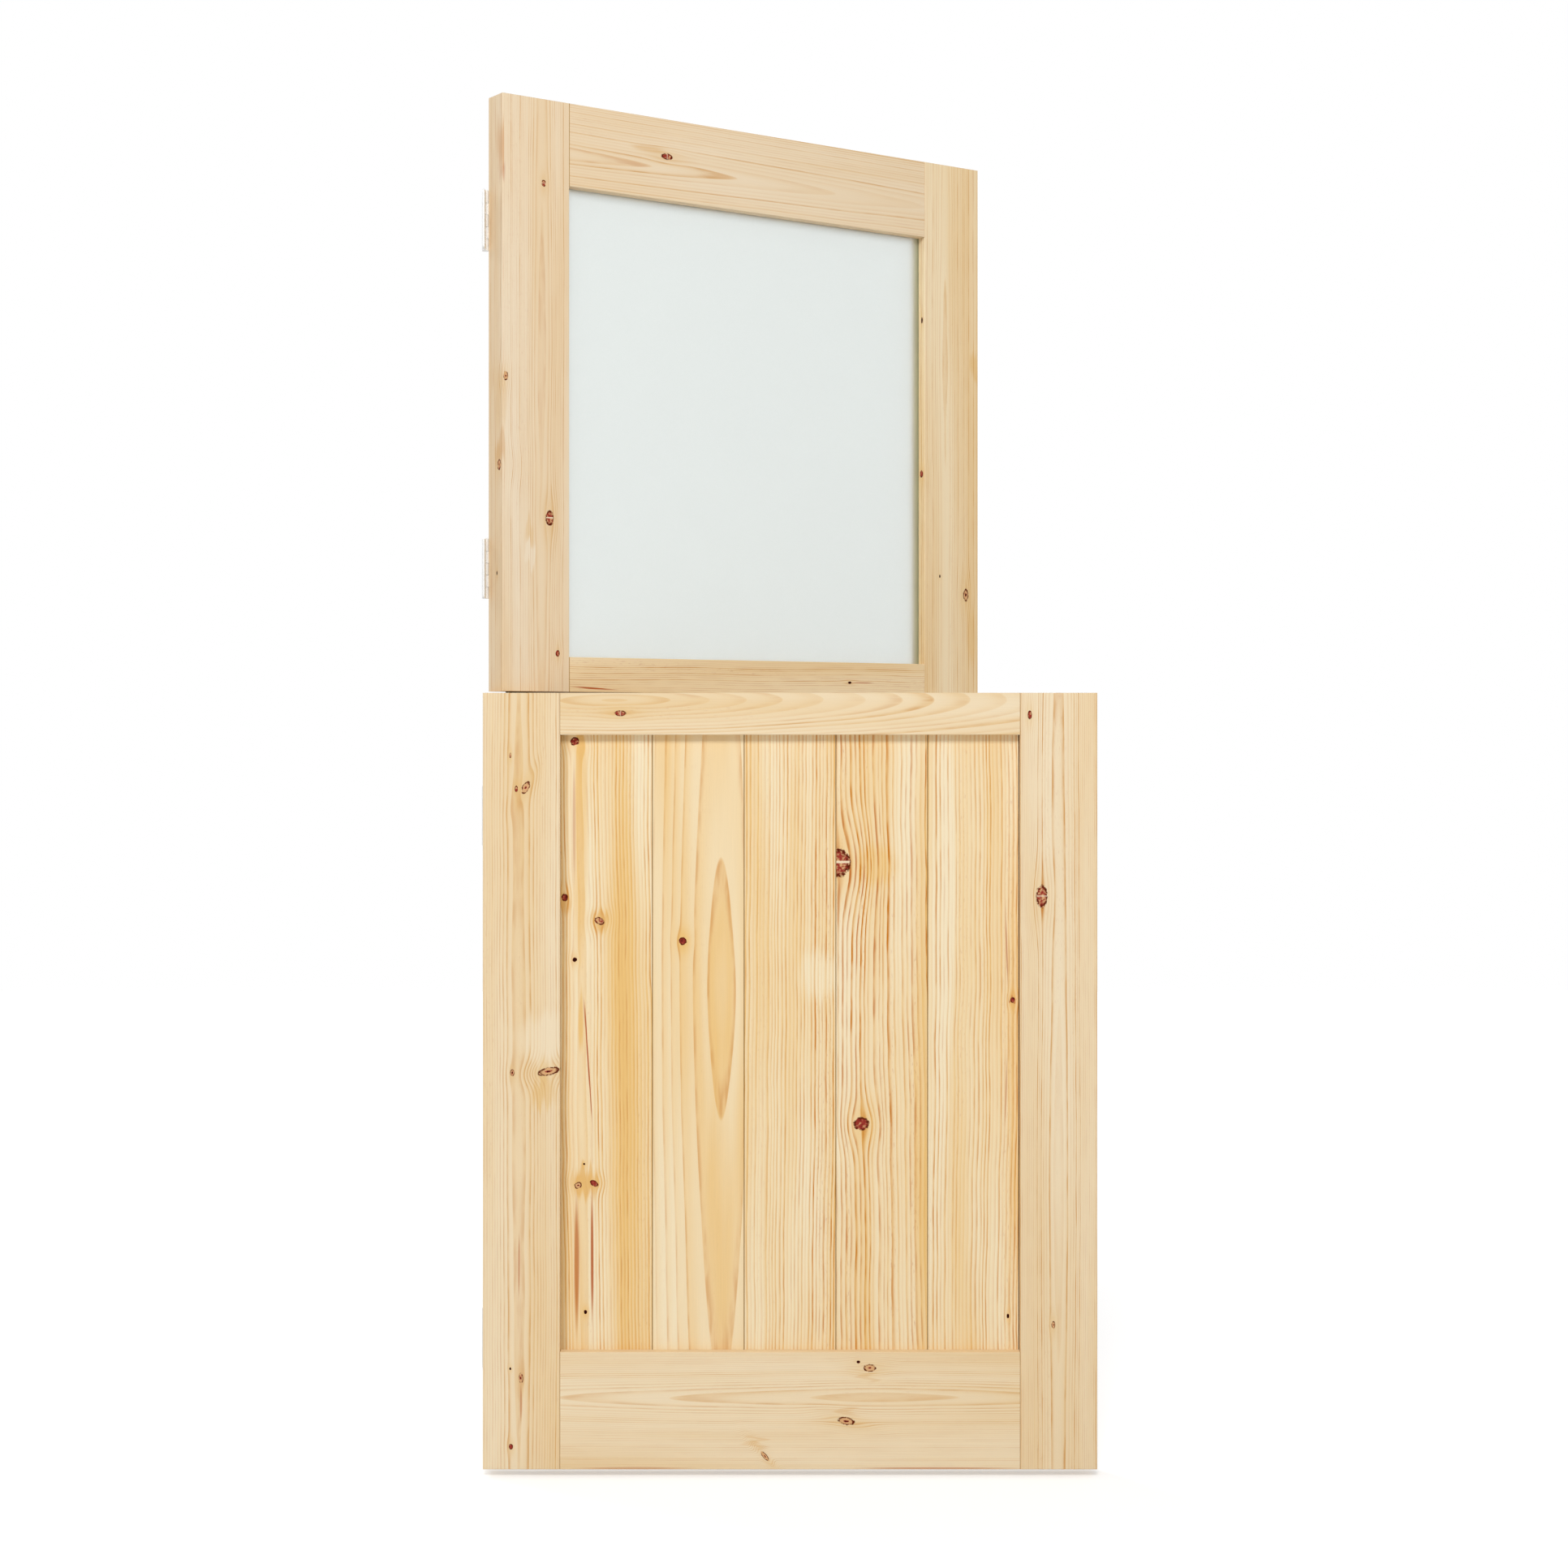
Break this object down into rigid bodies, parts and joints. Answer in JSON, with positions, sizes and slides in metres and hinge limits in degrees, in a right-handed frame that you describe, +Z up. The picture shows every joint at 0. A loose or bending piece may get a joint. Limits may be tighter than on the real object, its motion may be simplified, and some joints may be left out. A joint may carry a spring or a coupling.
{
  "type": "dutch stable door",
  "caption": "Pine Dutch door: a frosted-glass upper leaf over a boarded lower leaf, each swinging on its own hinges.",
  "frame": {"origin": "on the hinge axis, level with the bottom edge of the lower leaf", "axes": "+X along the closed leaves from the hinge edge to the lock edge, +Y to the side that the leaves open to, +Z up"},
  "size_m": [0.9211, 0.5703, 2.0505],
  "materials": {
    "frame_pine": "planed, unfinished knotty pine",
    "board_pine": "planed, unfinished knotty pine boards",
    "dowel_wood": "turned beech",
    "frosted_glass": "etched, pale green white",
    "dark_rubber": "matt dark brown",
    "hinge_white": "white powder coat",
    "fixing_steel": "satin steel"
  },
  "bodies": {
    "jamb_side": {"upper_top_jamb_plate": "hinge_white", "upper_top_pin": "hinge_white", "upper_low_jamb_plate": "hinge_white", "upper_low_pin": "hinge_white", "lower_top_jamb_plate": "hinge_white", "lower_top_pin": "hinge_white", "lower_low_jamb_plate": "hinge_white", "lower_low_pin": "hinge_white"},
    "upper_leaf": {"upper_hinge_stile": "frame_pine", "upper_lock_stile": "frame_pine", "upper_top_rail": "frame_pine", "upper_bottom_rail": "frame_pine", "upper_dowels": "dowel_wood", "glass_pane": "frosted_glass", "setting_blocks": "dark_rubber", "glazing_bead_bottom": "frame_pine", "glazing_bead_hinge_side": "frame_pine", "glazing_bead_top": "frame_pine", "glazing_bead_lock_side": "frame_pine", "bead_pins": "fixing_steel", "meeting_seal": "dark_rubber", "upper_top_door_plate": "hinge_white", "upper_low_door_plate": "hinge_white", "upper_hinge_screws": "fixing_steel"},
    "lower_leaf": {"lower_hinge_stile": "frame_pine", "lower_lock_stile": "frame_pine", "lower_top_rail": "frame_pine", "lower_bottom_rail": "frame_pine", "lower_dowels": "dowel_wood", "board_1": "board_pine", "board_2": "board_pine", "board_3": "board_pine", "board_4": "board_pine", "board_5": "board_pine", "lower_top_door_plate": "hinge_white", "lower_low_door_plate": "hinge_white", "lower_hinge_screws": "fixing_steel"}
  },
  "joints": [
    {"name": "upper_hinge", "type": "hinge", "parent": "jamb_side", "child": "upper_leaf", "pos_m": [0, 0, 1.1575], "axis": [0, 0, 1], "range_deg": [-35, 85]},
    {"name": "lower_hinge", "type": "hinge", "parent": "jamb_side", "child": "lower_leaf", "pos_m": [0, 0, 0], "axis": [0, 0, 1], "range_deg": [0, 120]}
  ]
}
